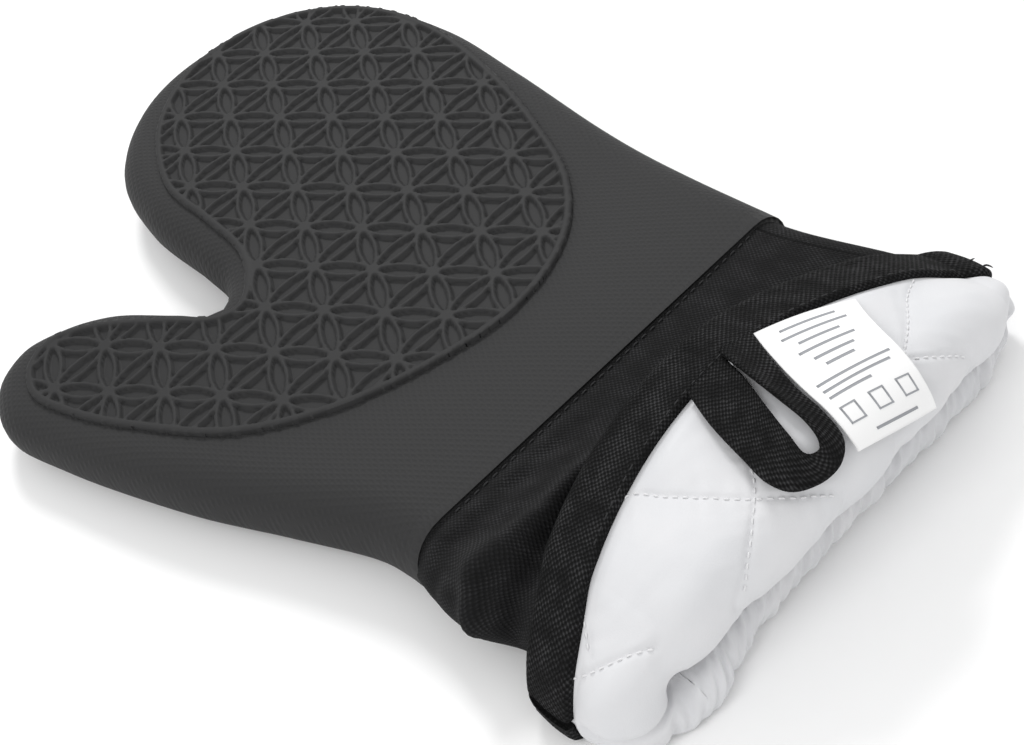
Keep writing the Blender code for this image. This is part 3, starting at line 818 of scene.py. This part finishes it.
# All the stitches of some runs as one mesh of small closed threads.
def stitchMesh(name, runs, material):
    points = np.vstack([p for p, _ in runs])
    count = sum(k for _, k in runs)
    one = gridFaces(stitchRings, stitchSides, closedColumns=True)
    start = (np.arange(count) * stitchRings * stitchSides)[:, None, None]
    faces = (one[None] + start).reshape(-1, 4)
    around = np.arange(stitchSides)[None]
    last = around + (stitchRings - 1) * stitchSides
    caps = np.concatenate([around[:, ::-1] + start[:, 0], last + start[:, 0]])
    return makeMesh(name, points, [faces, caps], material)


quiltStitch = {"pitch": 2.6, "length": 1.75, "radius": 0.27}


# Runs of stitches along the quilting lines, laid on the lining as it really lies.
def quiltSeams():
    tree = BVHTree.FromObject(lining, bpy.context.evaluated_depsgraph_get())
    runs = []
    for path in seamPaths():
        world = toWorld(np.column_stack([path, np.full(len(path), 80.0)]))
        hits = [tree.ray_cast(Vector(spot), Vector((0, 0, -1))) for spot in world.tolist()]
        good = [k for k, hit in enumerate(hits) if hit[0] is not None and hit[1].z > 0.25]
        if len(good) < 12:
            continue
        point = np.array([tuple(hits[k][0]) for k in good]) * 1000 + origin
        normal = np.array([tuple(hits[k][1]) for k in good])
        runs.append(stitchRun(point, normal, **quiltStitch))
    return stitchMesh("quiltStitches", runs, whiteThreadMaterial)


print("stitches")
quiltStitches = quiltSeams()
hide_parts(*["quilting_thread_%d" % k for k in range(1, 6)])


tapeOut = -tapeShape["lift"] - tapeShape["thick"]
underPlaces = np.column_stack([np.linspace(-0.95, 0.95, 400), np.zeros(400), np.full(400, -1.0)])
# name, places, station, depth, thread radius, node it stands for
edgeSeams = [
    ("tapeStitches", topPlaces(np.linspace(92, -38, 400)), 2.56, tapeOut + 0.15, 0.25, "binding_thread_over"),
    ("tapeStitchesUnder", underPlaces, 2.56, tapeOut + 0.15, 0.25, "binding_thread_under"),
    ("shellStitches", topPlaces(np.linspace(90, -38, 400)), 0.155, cuffShape["depth"] + 0.1, 0.28,
     "shell_seam_thread"),
]
for name, places, station, depth, radius, node in edgeSeams:
    point, normal = cuffFrame(places, np.full(len(places), station), np.full(len(places), depth))
    run = stitchRun(point, normal if station > 1 else -normal, 3.4, 2.3, radius)
    seam = stitchMesh(name, [run], blackThreadMaterial)
    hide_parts(node)

# Ends: outward direction, station and reach of each.
frayShape = {
    "radius": 0.32, "rings": 12, "sides": 7, "curl": (0.3, 0.8, 0.9),
    "ends": [(0.1, 2.93, (2.6, 1.6, 1.3)), (0.45, 2.72, (3.6, -1.8, 0.6)), (0.6, 2.56, (2.4, -3.2, -0.6))],
}


# Loose ends of yarn where the tape is cut at the right: a straight reach plus sin^2 of curl.
def buildFray():
    f = frayShape
    rings, sides = f["rings"], f["sides"]
    t = np.linspace(0, 1, rings)
    fat = f["radius"] * np.sqrt(np.clip(1.02 - t**4, 0.05, 1))
    points, faces = [], []
    for k, (nx, station, reach) in enumerate(f["ends"]):
        place = np.array([[1.0, nx, math.sqrt(1 - nx * nx)]])
        base = cuffPoints(place, np.array([station]), np.array([-2.0]))[0]
        reach = np.array(reach)
        curl = np.array(f["curl"]) * (k - 1)
        path = base + t[:, None] * reach + (np.sin(t * 2.4) ** 2)[:, None] * curl - reach * 0.3
        ahead = np.gradient(path, axis=0)
        side = np.cross(ahead, (0.2, 0.1, 1.0))
        side /= np.linalg.norm(side, axis=1)[:, None]
        up = np.cross(side, ahead)
        up /= np.linalg.norm(up, axis=1)[:, None]
        points.append((path[:, None] + fat[:, None, None] * ringRound(side, up, sides)).reshape(-1, 3))
        start = rings * sides * k
        cap = np.arange(sides)[None] + start
        faces += [gridFaces(rings, sides, closedColumns=True, first=start), cap[:, ::-1],
                  cap + (rings - 1) * sides]
    return makeMesh("frayedEnds", np.vstack(points), faces, blackThreadMaterial)


print("loose ends")
fray = buildFray()
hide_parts("frayed_thread_1", "frayed_thread_2")

# Stops of x and station on the upper side, for both edges of the loop and of the label.
loopShape = {
    "outer": [(8.4, 2.49), (3.9, 2.31), (0.4, 2.1), (-1.4, 1.95), (0.6, 1.83), (6.3, 1.765), (13, 1.755),
              (18, 1.81), (20.6, 1.96), (23.0, 2.13), (27.6, 2.33), (32.0, 2.49)],
    "inner": [(21.9, 2.49), (19.2, 2.34), (14.9, 2.17), (10.9, 2.0), (9.2, 1.9), (10.6, 1.872), (12.8, 1.868),
              (14.3, 1.9), (15.6, 2.0), (17.2, 2.15), (19.4, 2.34), (21.2, 2.49)],
    "lift": 2.0, "thick": 2.6, "lap": 2.2, "bend": 0.12, "bendThick": 0.35, "hollow": 0.35,
    "steps": 90, "sides": 28,
}
labelShape = {
    "left": [(32.1, 2.49), (28.0, 2.33), (23.6, 2.13), (20.6, 1.93), (18.8, 1.74)],
    "right": [(57.1, 2.37), (52.0, 2.18), (47.6, 1.99), (44.6, 1.80), (43.1, 1.62)],
    "lift": 2.9, "thick": 0.3, "stand": (0.0, 0.6, 1.3, 1.6, 1.2), "steps": 60, "stepsOver": 34,
    "flat": (0.0255, 0.048),
    # plain bars as down, over, length, height; plain boxes as over
    "bars": [(0.08, 0.2, 0.55, 0.02), (0.16, 0.16, 0.66, 0.02), (0.24, 0.27, 0.42, 0.02),
             (0.32, 0.2, 0.58, 0.02), (0.40, 0.28, 0.42, 0.02), (0.47, 0.33, 0.3, 0.02),
             (0.57, 0.1, 0.8, 0.016), (0.62, 0.1, 0.74, 0.016), (0.67, 0.1, 0.46, 0.016),
             (0.93, 0.28, 0.5, 0.016)],
    "boxes": (0.1, 0.41, 0.72), "barSteps": 14,
}
stationLength = 60.0  # millimetres that one station is taken as, to space a curve evenly


# Evenly spaced stops of x and station, on a curve through the given ones.
def resampled(stops, count):
    p = np.array(stops, float) * [1, stationLength]
    path = curveThrough(p, 0.5, False)
    along = np.concatenate([[0], np.cumsum(np.linalg.norm(np.diff(path, axis=0), axis=1))])
    even = np.linspace(0, along[-1], count)
    return np.stack([np.interp(even, along, path[:, k]) for k in range(2)], 1) / [1, stationLength]


# A folded tape bent into a U: rounded edges, a hollow down its middle, lying on the roll. The cross
# section is a rounded slab, width cos^0.45 and height sin^0.55.
def buildLoop():
    shape = loopShape
    steps = np.linspace(0, 1, shape["steps"])
    outer, inner = resampled(shape["outer"], shape["steps"]), resampled(shape["inner"], shape["steps"])
    t = np.linspace(0, 2 * math.pi, shape["sides"], endpoint=False)
    across = np.sign(np.cos(t)) * np.abs(np.cos(t)) ** 0.45
    height = np.sign(np.sin(t)) * np.abs(np.sin(t)) ** 0.55
    share = (across + 1) / 2
    spot = outer[:, None] * (1 - share)[None, :, None] + inner[:, None] * share[None, :, None]
    point, normal = cuffFrame(topPlaces(spot[..., 0]), spot[..., 1], 0 * spot[..., 0])
    bend = np.exp(-((steps - 0.5) / shape["bend"]) ** 2)[:, None]
    thick = shape["thick"] * (1 + shape["bendThick"] * bend)
    hollow = -shape["hollow"] * (height > 0) * (1 - across**2) * (1 - bend)
    lap = smooth(steps, 0.52, 0.66)[:, None] * smooth(share, 0.35, 1.0)[None]
    lift = shape["lift"] + thick * (height[None] + 1) / 2 + hollow + shape["lap"] * lap
    return stripMesh("hangingLoop", point + normal * lift[..., None], tapeMaterial, "loop")


# A strip whose cross sections are the rows' closed columns, capped at both ends.
def stripMesh(name, grid, material, body):
    rows, columns = grid.shape[:2]
    caps = [np.arange(columns)[None], (np.arange(columns)[::-1] + (rows - 1) * columns)[None]]
    sides = gridFaces(rows, columns, closedColumns=True, flip=True)
    made = makeMesh(name, grid.reshape(-1, 3), [sides] + caps, material, body)
    along, around = runAlong(grid.mean(1)[:, None], 0), runAlong(grid, 1)
    addUv(made, np.stack([along + 0 * around, around], -1).reshape(-1, 2))
    return made


print("hanging loop")
hangingLoop = buildLoop()
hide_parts("hanging_loop")


# Points on the label: down 0 to 1 along it, over 0 to 1 across, lifted off the roll by its stand
# and by a slight curl, sin of over.
def labelGrid(down, over, lift):
    shape = labelShape
    left, right = resampled(shape["left"], shape["steps"]), resampled(shape["right"], shape["steps"])
    steps = np.linspace(0, 1, shape["steps"])
    leftSpot = np.stack([np.interp(down, steps, left[:, k]) for k in range(2)], -1)
    rightSpot = np.stack([np.interp(down, steps, right[:, k]) for k in range(2)], -1)
    spot = leftSpot * (1 - over)[..., None] + rightSpot * over[..., None]
    point, normal = cuffFrame(topPlaces(spot[..., 0]), spot[..., 1], 0 * spot[..., 0])
    stand = np.interp(down, np.linspace(0, 1, 5), shape["stand"])
    curl = 0.5 * np.sin(math.pi * over) + 0.6 * down * over**2
    return point + normal * (shape["lift"] + stand + curl + lift)[..., None]


# A thin closed plate on the label, from one height off it to another: points and faces.
def labelPlate(down, over, top, bottom):
    down, over = np.meshgrid(down, over, indexing="ij")
    rows, columns = down.shape
    n = rows * columns
    index = np.arange(n).reshape(rows, columns)
    edge = np.concatenate([index[0, :-1], index[:-1, -1], index[-1, :0:-1], index[:0:-1, 0]])
    rim = np.stack([edge, edge + n, np.roll(edge, -1) + n, np.roll(edge, -1)], 1)
    points = np.vstack([labelGrid(down, over, lift).reshape(-1, 3) for lift in (top, bottom)])
    return points, [gridFaces(rows, columns), gridFaces(rows, columns, flip=True) + n, rim]


def buildLabel():
    shape = labelShape
    down, over = np.linspace(0, 1, shape["steps"]), np.linspace(0, 1, shape["stepsOver"])
    points, faces = labelPlate(down, over, shape["thick"], 0.0)
    return makeMesh("careLabel", points, faces, labelMaterial, "label")


# Plain grey bars and blank boxes where a label has its print, each box made of four bars.
def buildLabelMarks():
    shape = labelShape
    bars = list(shape["bars"])
    for x in shape["boxes"]:
        bars += [(0.75, x, 0.17, 0.01), (0.85, x, 0.17, 0.01)]
    marks = [(d, d + height, o, o + length, shape["barSteps"]) for d, o, length, height in bars]
    for x in shape["boxes"]:
        marks += [(0.75, 0.86, x, x + 0.02, 3), (0.75, 0.86, x + 0.15, x + 0.17, 3)]
    pieces, faces, count = [], [], 0
    for d0, d1, o0, o1, steps in marks:
        points, blocks = labelPlate(np.linspace(d0, d1, 3), np.linspace(o0, o1, steps),
                                    shape["thick"] + 0.07, shape["thick"] - 0.1)
        faces += [block + count for block in blocks]
        pieces.append(points)
        count += len(points)
    return makeMesh("labelMarks", np.vstack(pieces), faces, inkMaterial, "label")


print("care label")
careLabel = buildLabel()
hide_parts("care_label")
labelMarks = buildLabelMarks()

stageShape = {
    "floorHalf": 6, "floorDrop": 0.0002, "roomLight": 0.84,
    # lamps as name, place, size and watts, all in metres and aimed at the mitt
    "lamps": [("keyLight", (0.75, 1.05, 1.35), 0.5, 15), ("fillLight", (-1.0, -0.2, 1.5), 0.9, 7)],
}

print("floor and lights")
floorMaterial = newMaterial("floor", (0.95, 0.95, 0.95), 0.9)
floorMesh = bpy.data.meshes.new("floor")
half = stageShape["floorHalf"]
corners = [(-half, -half, 0), (half, -half, 0), (half, half, 0), (-half, half, 0)]
floorMesh.from_pydata(corners, [], [(0, 1, 2, 3)])
floorMesh.materials.append(floorMaterial)
floor = bpy.data.objects.new("floor", floorMesh)
floor.location.z = -stageShape["floorDrop"]
bpy.context.scene.collection.objects.link(floor)

world = bpy.data.worlds.new("room")
world.use_nodes = True
world.node_tree.nodes["Background"].inputs["Color"].default_value = (1, 1, 1, 1)
world.node_tree.nodes["Background"].inputs["Strength"].default_value = stageShape["roomLight"]
bpy.context.scene.world = world
bpy.context.scene.view_settings.view_transform = "Standard"


for name, place, size, watts in stageShape["lamps"]:
    light = bpy.data.lights.new(name, "AREA")
    light.shape = "DISK"
    light.size = size
    light.energy = watts
    lamp = bpy.data.objects.new(name, light)
    lamp.location = place
    lamp.rotation_euler = (-Vector(place)).to_track_quat("-Z", "Y").to_euler()
    bpy.context.scene.collection.objects.link(lamp)

# The camera's place is measured in pitches of the grip relief, from a frame turned by "turn" that
# lies in the relief's plane; "lattice" turns that frame to the mitt. Angles are in degrees.
cameraShape = {
    "elevation": 47.0203, "turn": -30.1928, "shiftX": -2.3102, "shiftY": 4.4355, "distance": 20.8031,
    "roll": 19.7968, "lattice": 30.4, "pitch": 20.0,
    "lens": 52.734, "sensor": 36, "clipStart": 0.01,
}


# The camera looks down at the relief's plane from its elevation, then rolls about its own axis.
def placeCamera():
    c = cameraShape
    el, turn, roll, lattice = (math.radians(c[k]) for k in ("elevation", "turn", "roll", "lattice"))
    back = np.array([0, -math.cos(el), math.sin(el)])
    right = np.array([1.0, 0, 0])
    up = np.cross(back, right)
    imageRight = math.cos(roll) * right - math.sin(roll) * up
    imageUp = math.sin(roll) * right + math.cos(roll) * up
    unturn = np.array([[math.cos(turn), -math.sin(turn), 0], [math.sin(turn), math.cos(turn), 0], [0, 0, 1]])
    place = unturn.T @ (c["distance"] * back - np.array([c["shiftX"], c["shiftY"], 0]))
    toMitt = np.array([[math.sin(lattice), math.cos(lattice), 0],
                       [-math.cos(lattice), math.sin(lattice), 0], [0, 0, 1]])
    axes = [toMitt @ (unturn.T @ v) for v in (imageRight, imageUp, back)]
    spot = toMitt @ place * c["pitch"] + np.array([0, 0, palmTop])
    camera = bpy.data.objects.new("camera", bpy.data.cameras.new("camera"))
    camera.data.lens = c["lens"]
    camera.data.sensor_width = c["sensor"]
    camera.data.clip_start = c["clipStart"]
    rows = [[*[float(a[k]) for a in axes], float(toWorld(spot)[k])] for k in range(3)]
    camera.matrix_world = Matrix(rows + [[0, 0, 0, 1]])
    bpy.context.scene.collection.objects.link(camera)
    bpy.context.scene.camera = camera


print("camera")
placeCamera()
